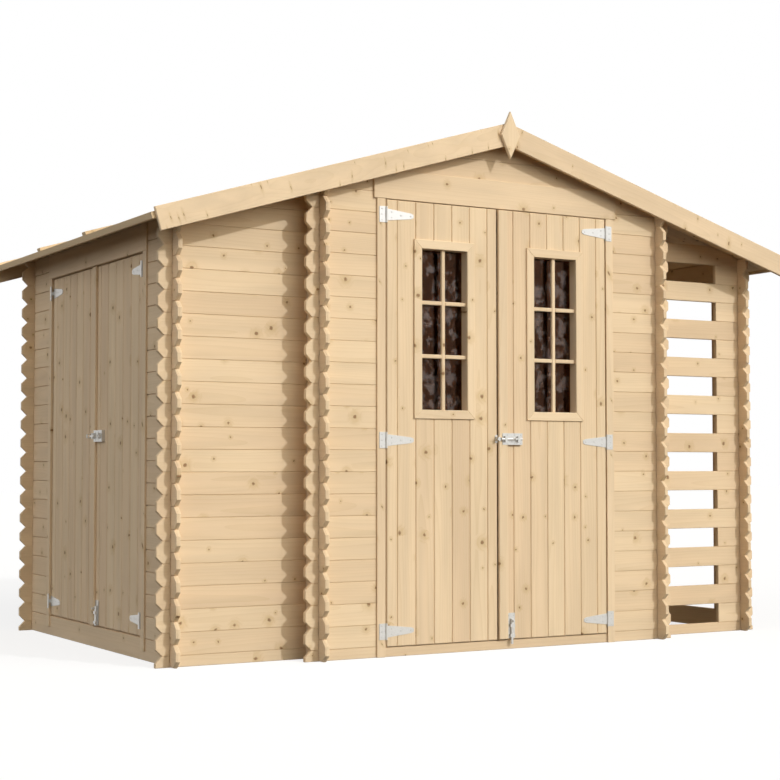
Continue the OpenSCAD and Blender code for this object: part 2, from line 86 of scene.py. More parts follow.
wallU, postU, frontHead, sideHead = (shed[k] for k in ("wallU", "postU", "frontHead", "sideHead"))
slope = math.tan(math.radians(shed["pitch"]))
ridgeZ = shed["roomEave"] + roomX * slope
eaveZ = shed["roomEave"] - (wallX - roomX) * slope
halfH = boardH / 2


# materials

def newGroup(name, treeKind, inputs, outputs):
    tree = bpy.data.node_groups.new(name, treeKind)
    for label, kind, value in inputs:
        sock = tree.interface.new_socket(label, in_out="INPUT", socket_type="NodeSocket" + kind)
        if value is not None:
            sock.default_value = value
    for label, kind in outputs:
        tree.interface.new_socket(label, in_out="OUTPUT", socket_type="NodeSocket" + kind)
    return tree, tree.nodes.new("NodeGroupInput"), tree.nodes.new("NodeGroupOutput")


# inputs, by name or place, take plain values or what other nodes put out
def feed(tree, node, inputs):
    for key, value in inputs.items():
        sock = node.inputs[key]
        if isinstance(value, bpy.types.NodeSocket):
            tree.links.new(value, sock)
        elif value is not None:
            sock.default_value = (*value[:3], 1.0) if sock.type == "RGBA" else value
    return node


def addNode(tree, kind, inputs=None):
    return feed(tree, tree.nodes.new(kind), inputs or {})


def mathNode(tree, op, a, b=None, c=None, clamp=False):
    node = addNode(tree, "ShaderNodeMath", {0: a, 1: b, 2: c})
    node.operation = op
    node.use_clamp = clamp
    return node.outputs[0]


def rangeNode(tree, value, low, high, outLow=0.0, outHigh=1.0):
    node = addNode(tree, "ShaderNodeMapRange", {"Value": value, "From Min": low, "From Max": high,
                                                "To Min": outLow, "To Max": outHigh})
    node.interpolation_type = "SMOOTHSTEP"
    return node.outputs["Result"]


def mixColour(tree, factor, a, b, blend="MIX"):
    node = tree.nodes.new("ShaderNodeMix")
    node.data_type = "RGBA"
    node.blend_type = blend
    return feed(tree, node, {0: factor, 6: a, 7: b}).outputs[2]


def scaledNoise(tree, vector, scale, detail=2.0, rough=0.5):
    stretch = addNode(tree, "ShaderNodeMapping", {"Vector": vector, "Scale": scale})
    noise = addNode(tree, "ShaderNodeTexNoise", {"Vector": stretch.outputs[0], "Scale": 1.0,
                                                 "Detail": detail, "Roughness": rough})
    return noise.outputs["Fac"]


def bumpNode(tree, height, strength, distance):
    bump = addNode(tree, "ShaderNodeBump", {"Strength": strength, "Distance": distance, "Height": height})
    return bump.outputs[0]


def freshNodes(owner, outKind):
    owner.use_nodes = True
    owner.node_tree.nodes.clear()
    return owner.node_tree, owner.node_tree.nodes.new(outKind)


# knots: cells to a metre, bend of the outlines, size, core and halo; then rings, fibres and tones
pineLook = {"cells": 7.5, "bend": 0.012, "bendScales": ((70.0, 90.0, 50.0), (55.0, 110.0, 60.0)),
            "sizeMore": 0.060, "sizeMin": 0.028, "core": 0.35, "halo": 4.0, "haloTone": 0.45,
            "knotTone": 0.85, "wander": 0.05, "drift": 0.07, "knotPush": 0.009, "ringW": 0.0072,
            "ringPower": 3.0, "fibre": (0.30, -0.09), "cloud": (0.93, 1.05), "shade": (-0.06, 1.03),
            "rough": (-0.16, 0.72), "ringDip": -0.4, "fibreRise": 0.6, "knotRise": 0.5,
            "bump": (0.25, 0.0006), "specular": 0.25}


# growth rings, fibres, knots and the shade of each board, read from the board's own axes
def makePineFigure(p):
    tree, gin, gout = newGroup("pineFigure", "ShaderNodeTree", [
        ("Board Axes", "Vector", None), ("Board Shade", "Float", 0.5),
        ("Pale", "Color", (0.80, 0.62, 0.40, 1)), ("Rosy", "Color", (0.78, 0.57, 0.38, 1)),
        ("Late Wood", "Color", (0.63, 0.45, 0.235, 1)), ("Knot", "Color", (0.24, 0.12, 0.05, 1)),
        ("Ring Strength", "Float", 0.35), ("Knot Share", "Float", 0.58)],
        [("Color", "Color"), ("Roughness", "Float"), ("Height", "Float")])

    def calc(op, *values, clamp=False):
        return mathNode(tree, op, *values, clamp=clamp)

    axes, shade = gin.outputs["Board Axes"], gin.outputs["Board Shade"]
    split = addNode(tree, "ShaderNodeSeparateXYZ", {0: axes}).outputs
    # knots with uneven outlines on a plane of scattered points, some of them left out
    bent = [calc("MULTIPLY_ADD", scaledNoise(tree, axes, scale), p["bend"], split[k])
            for k, scale in enumerate(p["bendScales"])]
    flat = addNode(tree, "ShaderNodeCombineXYZ", {0: bent[0], 1: bent[1]})
    cells = addNode(tree, "ShaderNodeTexVoronoi", {"Vector": flat.outputs[0], "Scale": p["cells"]})
    cells.voronoi_dimensions = "2D"
    pick = addNode(tree, "ShaderNodeSeparateColor", {0: cells.outputs["Color"]}).outputs
    away = cells.outputs["Distance"]
    keep = calc("LESS_THAN", pick[0], gin.outputs["Knot Share"])
    size = calc("MULTIPLY_ADD", pick[1], p["sizeMore"], p["sizeMin"])
    core, wide = calc("MULTIPLY", size, p["core"]), calc("MULTIPLY", size, p["halo"])
    spot = calc("MULTIPLY", rangeNode(tree, away, core, size, 1.0, 0.0), keep)
    halo = calc("MULTIPLY", rangeNode(tree, away, size, wide, 1.0, 0.0), keep)
    # rings about a wandering pith, bent round the knots
    wander = scaledNoise(tree, axes, (0.9, 9.0, 9.0), 3.0)
    drift = scaledNoise(tree, axes, (0.5, 3.0, 3.0))
    across = calc("MULTIPLY_ADD", wander, p["wander"], split[1])
    deep = calc("MULTIPLY_ADD", drift, p["drift"], split[2])
    radius = calc("SQRT", calc("ADD", calc("MULTIPLY", across, across), calc("MULTIPLY", deep, deep)))
    radius = calc("MULTIPLY_ADD", halo, p["knotPush"], radius)
    ring = calc("POWER", calc("FRACT", calc("DIVIDE", radius, p["ringW"])), p["ringPower"])
    fibre = scaledNoise(tree, axes, (14.0, 420.0, 420.0))
    cloud = scaledNoise(tree, axes, (1.6, 14.0, 14.0))
    base = mixColour(tree, shade, gin.outputs["Pale"], gin.outputs["Rosy"])
    fine = calc("MULTIPLY_ADD", fibre, *p["fibre"], clamp=True)
    mask = calc("ADD", calc("MULTIPLY", ring, gin.outputs["Ring Strength"]), fine, clamp=True)
    mask = calc("MULTIPLY_ADD", halo, p["haloTone"], mask, clamp=True)
    colour = mixColour(tree, mask, base, gin.outputs["Late Wood"])
    tone = rangeNode(tree, cloud, 0.25, 0.75, *p["cloud"])
    tone = calc("MULTIPLY", tone, calc("MULTIPLY_ADD", shade, *p["shade"]))
    grey = addNode(tree, "ShaderNodeCombineColor", {0: tone, 1: tone, 2: tone})
    colour = mixColour(tree, 1.0, colour, grey.outputs[0], "MULTIPLY")
    height = calc("MULTIPLY_ADD", ring, p["ringDip"], calc("MULTIPLY", fibre, p["fibreRise"]))
    feed(tree, gout, {
        "Color": mixColour(tree, calc("MULTIPLY", spot, p["knotTone"]), colour, gin.outputs["Knot"]),
        "Roughness": calc("MULTIPLY_ADD", mask, *p["rough"]),
        "Height": calc("MULTIPLY_ADD", spot, p["knotRise"], height)})
    return tree


pineFigure = makePineFigure(pineLook)


def newMaterial(name):
    mat = bpy.data.materials.new(name)
    tree, out = freshNodes(mat, "ShaderNodeOutputMaterial")
    shader = tree.nodes.new("ShaderNodeBsdfPrincipled")
    feed(tree, out, {"Surface": shader.outputs[0]})
    return mat, tree, shader


pineFinishes = {
    "wall_pine": {"Pale": (0.800, 0.630, 0.430), "Rosy": (0.785, 0.595, 0.400), "Ring Strength": 0.24},
    "door_pine": {"Pale": (0.800, 0.630, 0.430), "Rosy": (0.785, 0.595, 0.405), "Ring Strength": 0.30,
                  "Knot Share": 0.62},
    "planed_pine": {"Pale": (0.815, 0.645, 0.445), "Rosy": (0.800, 0.615, 0.420), "Ring Strength": 0.20},
    "roof_pine": {"Pale": (0.760, 0.590, 0.375), "Rosy": (0.730, 0.550, 0.345), "Ring Strength": 0.28},
}


def makePine(name, look):
    mat, tree, shader = newMaterial(name)
    figure = tree.nodes.new("ShaderNodeGroup")
    figure.node_tree = pineFigure
    feed(tree, figure, look)
    for label, out, attribute in (("Board Axes", "Vector", "boardAxes"),
                                  ("Board Shade", "Fac", "boardShade")):
        node = tree.nodes.new("ShaderNodeAttribute")
        node.attribute_name = attribute
        feed(tree, figure, {label: node.outputs[out]})
    made = figure.outputs
    feed(tree, shader, {"Base Color": made["Color"], "Roughness": made["Roughness"],
                        "Normal": bumpNode(tree, made["Height"], *pineLook["bump"]),
                        "Specular IOR Level": pineLook["specular"]})
    return mat


# bright zinc with a faint spangle and dulled patches
zinc = {"dull": (0.53, 0.515, 0.485), "bright": (0.64, 0.625, 0.595), "patches": (60.0, 60.0, 60.0),
        "spangles": 260.0, "spangleShare": 0.35, "patchShare": 0.65, "rough": (0.46, 0.34), "metallic": 0.8}


def makeZinc(z):
    mat, tree, shader = newMaterial("zinc_fittings")
    coords = tree.nodes.new("ShaderNodeTexCoord").outputs["Object"]
    patch = scaledNoise(tree, coords, z["patches"], 3.0)
    spangle = addNode(tree, "ShaderNodeTexVoronoi", {"Vector": coords, "Scale": z["spangles"]})
    grain = addNode(tree, "ShaderNodeSeparateColor", {0: spangle.outputs["Color"]})
    patch = mathNode(tree, "MULTIPLY", patch, z["patchShare"])
    mask = mathNode(tree, "MULTIPLY_ADD", grain.outputs[0], z["spangleShare"], patch)
    feed(tree, shader, {"Base Color": mixColour(tree, mask, z["dull"], z["bright"]),
                        "Roughness": rangeNode(tree, mask, 0.2, 0.8, *z["rough"]),
                        "Metallic": z["metallic"]})
    return mat


# dark rippled glass; a clear coat laid on in noise patches is a painted reflection, brighter where the
# patches mirror the plain white surroundings
glass = {"ripple": (9.0, 9.0, 5.0), "bump": (0.08, 0.002), "smear": (22.0, 22.0, 14.0),
         "rough": (0.02, 0.07), "film": (24.0, 24.0, 20.0), "filmRange": (0.50, 0.565),
         "look": {"Coat Roughness": 0.35, "Coat IOR": 1.58, "Base Color": (0.37, 0.19, 0.11, 1.0),
                  "Specular Tint": (0.50, 0.29, 0.17, 1.0), "Transmission Weight": 1.0, "IOR": 1.45,
                  "Specular IOR Level": 0.06}}


def makeGlass(g):
    mat, tree, shader = newMaterial("window_glass")
    coords = tree.nodes.new("ShaderNodeTexCoord").outputs["Object"]
    ripple = scaledNoise(tree, coords, g["ripple"])
    smear = scaledNoise(tree, coords, g["smear"], 3.0)
    # painted reflection: noise that lays the reflecting coat on in patches
    film = scaledNoise(tree, coords, g["film"], 6.0, 0.70)
    feed(tree, shader, {"Normal": bumpNode(tree, ripple, *g["bump"]),
                        "Roughness": rangeNode(tree, smear, 0.35, 0.75, *g["rough"]),
                        "Coat Weight": rangeNode(tree, film, *g["filmRange"]), **g["look"]})
    return mat


finishes = {name: makePine(name, look) for name, look in pineFinishes.items()}
finishes["zinc_fittings"] = makeZinc(zinc)
finishes["window_glass"] = makeGlass(glass)
print("materials", len(finishes))


# boards: a flat outline with its thickness, its long edges planed off, and its own grain axes

def outlineArea(pts):
    return sum(a[0] * b[1] - b[0] * a[1] for a, b in zip(pts, pts[1:] + pts[:1])) / 2


def cleanOutline(pts, near=0.4):
    kept = []
    for p in pts:
        if not kept or math.dist(p, kept[-1]) > near:
            kept.append(p)
    if len(kept) > 1 and math.dist(kept[0], kept[-1]) <= near:
        kept.pop()
    out = []
    for k, p in enumerate(kept):
        a, b = kept[k - 1], kept[(k + 1) % len(kept)]
        turn = (p[0] - a[0]) * (b[1] - p[1]) - (p[1] - a[1]) * (b[0] - p[0])
        if abs(turn) > 0.02 * (math.dist(a, p) + math.dist(p, b)):
            out.append(p)
    return out if outlineArea(out) > 0 else out[::-1]


def insetOutline(pts, by):
    out = []
    for k, p in enumerate(pts):
        a, b = pts[k - 1], pts[(k + 1) % len(pts)]
        d1 = Vector((p[0] - a[0], p[1] - a[1])).normalized()
        d2 = Vector((b[0] - p[0], b[1] - p[1])).normalized()
        n1, n2 = Vector((-d1.y, d1.x)), Vector((-d2.y, d2.x))
        miter = (n1 + n2) * (by / max(1.0 + n1.dot(n2), 0.35))
        out.append((p[0] + miter.x, p[1] + miter.y))
    return out


def clipOutline(pts, nx, nz, limit):
    out = []
    for a, b in zip(pts, pts[1:] + pts[:1]):
        da, db = nx * a[0] + nz * a[1] - limit, nx * b[0] + nz * b[1] - limit
        if da <= 0:
            out.append(a)
        if (da < 0 < db) or (db < 0 < da):
            t = da / (da - db)
            out.append((a[0] + (b[0] - a[0]) * t, a[1] + (b[1] - a[1]) * t))
    return out


def rect(u0, u1, z0, z1):
    return [(u0, z0), (u1, z0), (u1, z1), (u0, z1)]


def mirrorPts(pts):
    return [(-s, z) for s, z in reversed(pts)]


def storeVectors(mesh, label, rows):
    data = mesh.attributes.new(label, "FLOAT_VECTOR", "POINT").data
    data.foreach_set("vector", [c for row in rows for c in row])


smallest = 60                                       # no board is made of an outline with less area


# one piece gathers many boards; a board lies in the plane of two directions
class Stack:
    def __init__(self, seed):
        self.verts, self.faces, self.axes, self.shade = [], [], [], []
        self.luck = random.Random(seed)

    def board(self, pts, start, along, up, thick, edge=1.6, grainAlongUp=False, groove=None):
        pts = cleanOutline(pts)
        if len(pts) < 3 or abs(outlineArea(pts)) < smallest:
            return
        along, up = Vector(along), Vector(up)
        out = along.cross(up)                       # the outer face is towards this side
        edge = min(edge, thick / 3)
        rings = [(insetOutline(pts, edge), -thick), (pts, -thick + edge)]
        if groove:                                  # an open joint in front of the tongue
            rings += [(pts, -groove[1]), (insetOutline(pts, groove[0]), -groove[1])]
        inner = groove[0] if groove else 0.0
        rings += [(insetOutline(pts, inner), -edge), (insetOutline(pts, inner + edge), 0.0)]
        base, n = len(self.verts), len(pts)
        slide = (self.luck.uniform(0, 40), self.luck.uniform(-0.05, 0.05), self.luck.uniform(0.015, 0.07))
        tint = self.luck.random()
        middle = sum(s if grainAlongUp else z for s, z in pts) / n
        for ring, depth in rings:
            for s, z in ring:
                self.verts.append((Vector(start) + along * s + up * z + out * depth) * mm)
                long, wide = (z, s) if grainAlongUp else (s, z)
                place = (long * mm, (wide - middle) * mm, depth * mm)
                self.axes.append(tuple(a + b for a, b in zip(place, slide)))
                self.shade.append(tint)
        self.faces.append([base + k for k in reversed(range(n))])
        for r in range(len(rings) - 1):
            for k in range(n):
                a, b = base + r * n + k, base + r * n + (k + 1) % n
                self.faces.append([a, b, b + n, a + n])
        self.faces.append([base + (len(rings) - 1) * n + k for k in range(n)])

    def finish(self, name, node):
        mesh = bpy.data.meshes.new(name)
        mesh.from_pydata(self.verts, [], self.faces)
        storeVectors(mesh, "boardAxes", self.axes)
        mesh.attributes.new("boardShade", "FLOAT", "POINT").data.foreach_set("value", self.shade)
        mesh.materials.append(finishes[slotOf[node]])
        mesh.update()
        obj = addObject(name, mesh)
        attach(obj, bodyOf[node])
        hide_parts(node)


# outline of a wall board with cut ends and with notches along its lower and upper edge
def boardOutline(low, high, z0, z1, lowEnd, highEnd, under=(), over=()):
    cut = shed["endCut"]
    pts = [(low + (cut if "b" in lowEnd else 0), z0)]
    for a, b, d in sorted(under):
        pts += [(a, z0), (a, z0 + d), (b, z0 + d), (b, z0)]
    pts.append((high - (cut if "b" in highEnd else 0), z0))
    if "b" in highEnd:
        pts.append((high, z0 + cut))
    if "t" in highEnd:
        pts.append((high, z1 - cut))
    pts.append((high - (cut if "t" in highEnd else 0), z1))
    for a, b, d in sorted(over, reverse=True):
        pts += [(b, z1), (b, z1 - d), (a, z1 - d), (a, z1)]
    pts.append((low + (cut if "t" in lowEnd else 0), z1))
    if "t" in lowEnd:
        pts.append((low, z1 - cut))
    if "b" in lowEnd:
        pts.append((low, z0 + cut))
    return pts


# the notches of half a lap where another wall crosses
def lapNotches(crossings):
    return [(s - lapGap, s + boardT + lapGap, halfH / 2 + lapGap) for s in crossings]


# heights of the boards of a wall, from low to high, with one joint at start
def joints(start, low, high):
    inside, z = [], start
    while z < high:
        if z > low:
            inside.append(z)
        z += boardH
    return list(zip([low] + inside, inside + [high]))


# planed edge of a wall board, and half the width and the depth of the open joint
wallJoint = {"edge": 1.2, "groove": (0.7, 4.0)}
sideJoint = {"edge": 1.6, "groove": (1.3, 7.0)}


def layBoard(stack, start, along, pts, turned, joint):
    if turned:
        along, pts = [-a for a in along], mirrorPts(pts)
    stack.board(pts, start, along, (0, 0, 1), boardT, **joint)


# a wall across the front or back: y is its outer face, facing says which way that looks
def acrossBoard(stack, y, facing, pts):
    layBoard(stack, (0, y, 0), (1, 0, 0), pts, facing > 0, wallJoint)


# a wall along a side: x is its outer face
def alongBoard(stack, x, facing, pts):
    layBoard(stack, (x, 0, 0), (0, 1, 0), pts, facing < 0, sideJoint)


def underRoof(pts):
    top = ridgeZ - shed["seat"]
    return clipOutline(clipOutline(pts, slope, 1.0, top), -slope, 1.0, top)


# both corners of an end are cut, but the lower one not at the ground
def endMarks(z0):
    return "bt" if z0 > 0 else "t"


def buildFrontPiers():
    stack = Stack(11)
    tip = roomX + endOut
    notch = lapNotches([roomX - boardT])
    for z0, z1 in joints(halfH, 0, shed["gableZ"]):
        under = notch if z0 > 0 else []
        pts = boardOutline(wallU, tip, z0, z1, "", endMarks(z0), under, notch)
        acrossBoard(stack, -roomY, -1, pts)
        acrossBoard(stack, -roomY, -1, mirrorPts(pts))
    stack.finish("front_wall_boards", "front_wall_piers")


# boards of a gable wall from a joint up to the ridge, with the slot for the ridge beam
def gableBoards(stack, y, facing, start, doorTop=None):
    tip = roomX + endOut
    notch = lapNotches([roomX - boardT, -roomX])
    slotFoot, slotHalf = ridgeZ - shed["slotDeep"], shed["slotHalf"]
    roofAtLap = ridgeZ - roomX * slope
    for z0, z1 in joints(halfH, start, ridgeZ + boardH):
        if z0 > ridgeZ - shed["thinTop"]:
            continue
        under = list(notch) if z0 > 0 and z0 + halfH / 2 < roofAtLap else []
        over = list(notch) if z1 < roofAtLap else []
        if doorTop and z0 < doorTop:
            under.append((-wallU, wallU, doorTop - z0))
        if z0 < slotFoot < z1:
            over.append((-slotHalf, slotHalf, z1 - slotFoot))
        marks = endMarks(z0)
        outlines = [boardOutline(-tip, tip, z0, z1, marks, marks, under, over)]
        if z0 >= slotFoot:
            outlines = [rect(-tip, -slotHalf, z0, z1), rect(slotHalf, tip, z0, z1)]
        for pts in outlines:
            acrossBoard(stack, y, facing, underRoof(pts))


def buildGables():
    front = Stack(12)
    gableBoards(front, -roomY, -1, shed["gableZ"], frontHead)
    front.finish("front_gable_boards", "front_gable")
    back = Stack(13)
    gableBoards(back, roomY, 1, 0)
    back.finish("back_wall_boards", "back_wall")
    sill = Stack(14)
    sillTop = halfH - doors["gap"]
    acrossBoard(sill, -roomY, -1, rect(-postU, postU, 0, sillTop))
    sill.finish("front_sill_board", "front_sill")


def buildPartitions():
    stack = Stack(15)
    tip = roomY + endOut
    notch = lapNotches([-roomY, roomY - boardT])
    top = shed["roomEave"] - shed["topGap"]
    for side in (-1, 1):
        for z0, z1 in joints(0, 0, top + halfH):
            over = notch if z1 < top else []
            pts = clipOutline(boardOutline(-tip, tip, z0, z1, "bt", "bt", notch, over), 0, 1, top)
            alongBoard(stack, side * roomX, side, pts)
    stack.finish("partition_boards", "partitions")


def buildLeftBayEnds():
    stack = Stack(16)
    tip = -wallX - endOut
    notch = lapNotches([-wallX])
    for face in (-1, 1):
        for z0, z1 in joints(halfH, 0, shed["roomEave"] + halfH):
            under = notch if z0 > 0 and z0 + halfH < eaveZ else []
            over = notch if z1 < eaveZ else []
            pts = boardOutline(tip, -roomX, z0, z1, endMarks(z0), "", under, over)
            acrossBoard(stack, face * bayY, face, underRoof(pts))
    stack.finish("left_bay_end_boards", "left_bay_end_walls")


def buildSideWalls():
    tip = bayY + endOut
    near = lapNotches([bayY - boardT])
    both = lapNotches([-bayY, bayY - boardT])
    top = eaveZ - shed["topGap"]
    lastLap = shed["topLap"] - halfH / 2 - lapGap
    stops = {"left_wall_piers": (-1, wallU, 17), "log_side_returns": (1, shed["returnU"], 18)}
    for node, (side, stop, seed) in stops.items():
        stack = Stack(seed)
        for z0, z1 in joints(0, boardH, shed["headerZ"]):
            pts = boardOutline(stop, tip, z0, z1, "", "bt", near, near)
            alongBoard(stack, side * wallX, side, pts)
            alongBoard(stack, side * wallX, side, mirrorPts(pts))
        stack.finish(node + "_boards", node)
    for node, side, stop, seed in (("left_wall_header", -1, wallU, 19),
                                   ("log_side_header", 1, shed["returnU"], 20)):
        stack = Stack(seed)
        for z0, z1 in joints(0, shed["headerZ"], top):
            under = list(both)
            if z0 < sideHead:
                under.append((-stop, stop, sideHead - z0))
            over, marks = both, "bt"
            if z1 == top:
                over, marks = [(a, b, z1 - lastLap) for a, b, deep in both], "b"
            pts = boardOutline(-tip, tip, z0, z1, marks, marks, under, over)
            alongBoard(stack, side * wallX, side, pts)
        stack.finish(node + "_boards", node)
    stack = Stack(21)
    for side in (-1, 1):
        alongBoard(stack, side * wallX, side,
                   boardOutline(-tip, tip, 0, boardH, "bt", "bt", both, both))
    stack.finish("side_sill_boards", "side_sills")


logBay = {"blockL": 137.0}


def buildLogSlats():
    stack = Stack(22)
    tip = wallX + endOut
    notch = lapNotches([wallX - boardT])
    gapFrom = roomX + logBay["blockL"]
    gapTo = wallX - boardT - logBay["blockL"]
    for face in (-1, 1):
        for k, (z0, z1) in enumerate(joints(halfH, 0, shed["gableZ"])):
            under = notch if z0 > 0 and z0 + halfH < eaveZ else []
            over = notch if z1 < eaveZ else []
            marks = endMarks(z0)
            if k % 2 == 1:
                spans = [(roomX, gapFrom, "", [], []), (gapTo, tip, marks, under, over)]
            else:
                spans = [(roomX, tip, marks, under, over)]
            for low, high, end, lower, upper in spans:
                pts = underRoof(boardOutline(low, high, z0, z1, "", end, lower, upper))
                acrossBoard(stack, face * bayY, face, pts)
    stack.finish("log_bay_slat_boards", "log_bay_slats")


buildFrontPiers()
buildGables()
buildPartitions()
buildLeftBayEnds()
buildSideWalls()
buildLogSlats()
print("wall boards")

# roof
roof = {"t": 19.0, "eaveOut": 141.0, "roofY": 1044.0, "bargeH": 95.0, "bargeT": 16.0, "bargeRise": 16.0,
        "stripH": 27.0, "stripT": 16.0, "battenW": 40.0, "battenH": 14.0, "battenAt": 298.5,
        "battenStart": 40.0, "beamW": 40.0, "beamH": 58.0, "finialH": 207.0, "finialW": 96.0,
        "finialZ": -20.0, "boards": 24, "between": 0.5}
roofY = roof["roofY"]
roofL = (wallX + roof["eaveOut"]) / math.cos(math.radians(shed["pitch"]))


# directions down a slope and out of it, for the right side (1) or the left (-1)
def slopeAxes(side):
    a = math.radians(shed["pitch"])
    return Vector((side * math.cos(a), 0, -math.sin(a))), Vector((side * math.sin(a), 0, math.cos(a)))


# a flat outline in the plane of the front, given down the slope and out of it
def slopeBoard(stack, side, y, thick, pts, edge=1.6):
    down, out = slopeAxes(side)
    world = [down * d + out * h for d, h in pts]
    flat = [(v.x, v.z + ridgeZ) for v in world]
    if outlineArea(flat) < 0:
        flat = flat[::-1]
    stack.board(flat, (0, y, 0), (1, 0, 0), (0, 0, 1), thick, edge)
    grain = stack.axes
    ringCount = 4      # rings of corners that one board is made of
    for k in range(len(grain) - ringCount * len(cleanOutline(flat)), len(grain)):      # grain down the slope
        v = stack.verts[k] / mm - Vector((0, 0, ridgeZ))
        keep = grain[k]
        grain[k] = (down.dot(v) * mm + keep[0] % 7, out.dot(v) * mm + 0.02 * side, keep[2])


def buildRoofTrim():
    low, high = roof["t"] + roof["bargeRise"] - roof["bargeH"], roof["t"] + roof["bargeRise"]
    for side, node, seed in ((-1, "left_bargeboards", 31), (1, "right_bargeboards", 32)):
        stack = Stack(seed)
        for y in (-roofY - roof["bargeT"], roofY):
            slopeBoard(stack, side, y, roof["bargeT"],
                       [(-low * slope, low), (roofL, low), (roofL, high), (-high * slope, high)], 2.0)
        stack.finish(node + "_planed", node)
    stack = Stack(33)
    h, w, z = roof["finialH"] / 2, roof["finialW"] / 2, ridgeZ + roof["finialZ"]
    for y in (-roofY - 2 * roof["bargeT"], roofY + roof["bargeT"]):
        stack.board([(0, z - h), (w, z), (0, z + h), (-w, z)], (0, y, 0), (1, 0, 0), (0, 0, 1),
                    roof["bargeT"], 2.5, True)
    stack.finish("finial_diamonds", "finials")
    strips, battens = Stack(34), Stack(35)
    for side in (-1, 1):
        down, out = slopeAxes(side)
        run, end = Vector((0, side, 0)), roofL + roof["stripT"]
        start = Vector((0, 0, ridgeZ)) + down * end
        foot, half = roof["t"] - roof["stripH"], roof["battenW"] / 2
        strips.board(rect(-roofY, roofY, foot, roof["t"]), start, run, out, roof["stripT"], 1.5)
        for y in (-roof["battenAt"], roof["battenAt"]):
            top = Vector((0, y, ridgeZ)) + out * (roof["t"] + roof["battenH"])
            battens.board(rect(roof["battenStart"], end, -half, half), top, down, run, roof["battenH"], 1.5)
    strips.finish("eave_strip_boards", "eave_strips")
    battens.finish("roof_batten_boards", "roof_battens")
    beam = Stack(36)
    half, foot, top = roof["beamW"] / 2, ridgeZ - roof["beamH"], ridgeZ - shed["seat"]
    edge = top - half * slope
    beam.board([(-half, foot), (half, foot), (half, edge), (0, top), (-half, edge)],
               (0, -roofY, 0), (1, 0, 0), (0, 0, 1), 2 * roofY, 1.5)
    for k, v in enumerate(beam.verts):
        beam.axes[k] = (v.y + 3.0, v.x + 0.01, v.z - ridgeZ * mm + 0.05)
    beam.finish("ridge_beam_planed", "ridge_beam")


buildRoofTrim()


# the one socket that a node's data type switches on
def live(sockets, name=None):
    return next(s for s in sockets if s.enabled and name in (None, s.name))


def namedVector(tree, label):
    node = addNode(tree, "GeometryNodeInputNamedAttribute", {"Name": label})
    node.data_type = "FLOAT_VECTOR"
    return live(node.outputs)


def storeNamed(tree, geometry, label, kind, domain, value):
    node = addNode(tree, "GeometryNodeStoreNamedAttribute", {"Geometry": geometry, "Name": label})
    node.data_type, node.domain = kind, domain
    tree.links.new(value, live(node.inputs, "Value"))
    return node.outputs[0]


def randomNode(tree, kind, low, high, seed):
    node = tree.nodes.new("FunctionNodeRandomValue")
    node.data_type = kind
    sockets = [s for s in node.inputs if s.enabled]
    sockets[0].default_value, sockets[1].default_value = low, high
    tree.links.new(seed, node.inputs["Seed"])
    return node


def geometryGroup(name, inputs):
    shape = ("Geometry", "Geometry")
    finish = ("Finish", "Material", None)
    return newGroup(name, "GeometryNodeTree", [(*shape, None), *inputs, finish], [shape])


def realize(tree, instances):
    return addNode(tree, "GeometryNodeRealizeInstances", {0: instances}).outputs[0]


def paint(tree, geometry, gin, gout):
    finish = gin.outputs["Finish"]
    node = addNode(tree, "GeometryNodeSetMaterial", {"Geometry": geometry, "Material": finish})
    feed(tree, gout, {0: node.outputs[0]})


# roof boards laid side by side from one gable to the other
def roofBoardTree():
    inputs = [("Boards", "Int", 24), ("Pitch", "Float", 0.087), ("Seed", "Int", 5)]
    tree, gin, gout = geometryGroup("roofBoards", inputs)
    step = addNode(tree, "ShaderNodeCombineXYZ", {"Y": gin.outputs["Pitch"]})
    line = addNode(tree, "GeometryNodeMeshLine", {"Count": gin.outputs["Boards"], "Offset": step.outputs[0]})
    laid = addNode(tree, "GeometryNodeInstanceOnPoints", {"Points": line.outputs[0],
                                                          "Instance": gin.outputs["Geometry"]}).outputs[0]
    index = tree.nodes.new("GeometryNodeInputIndex")
    own = (("boardShade", "FLOAT", 0.0, 1.0),
           ("boardSlide", "FLOAT_VECTOR", (0, -0.05, 0.015), (40, 0.05, 0.07)))
    for salt, (label, kind, low, high) in enumerate(own, 1):
        luck = randomNode(tree, kind, low, high, mathNode(tree, "ADD", gin.outputs["Seed"], salt))
        feed(tree, luck, {"ID": index.outputs[0]})
        laid = storeNamed(tree, laid, label, kind, "INSTANCE", live(luck.outputs))
    total = addNode(tree, "ShaderNodeVectorMath", {0: namedVector(tree, "boardLocal"),
                                                   1: namedVector(tree, "boardSlide")})
    laid = storeNamed(tree, realize(tree, laid), "boardAxes", "FLOAT_VECTOR", "POINT", total.outputs[0])
    paint(tree, laid, gin, gout)
    return tree


# runs a tree on an object and leaves a plain mesh at the origin
def applyTree(obj, tree, values):
    mod = obj.modifiers.new("make", "NODES")
    mod.node_group = tree
    ids = {i.name: i.identifier for i in tree.interface.items_tree if i.in_out == "INPUT"}
    for label, value in values.items():
        mod[ids[label]] = value
    done = obj.evaluated_get(bpy.context.evaluated_depsgraph_get())
    mesh = bpy.data.meshes.new_from_object(done)
    obj.modifiers.remove(mod)
    obj.data = mesh


roofTree = roofBoardTree()


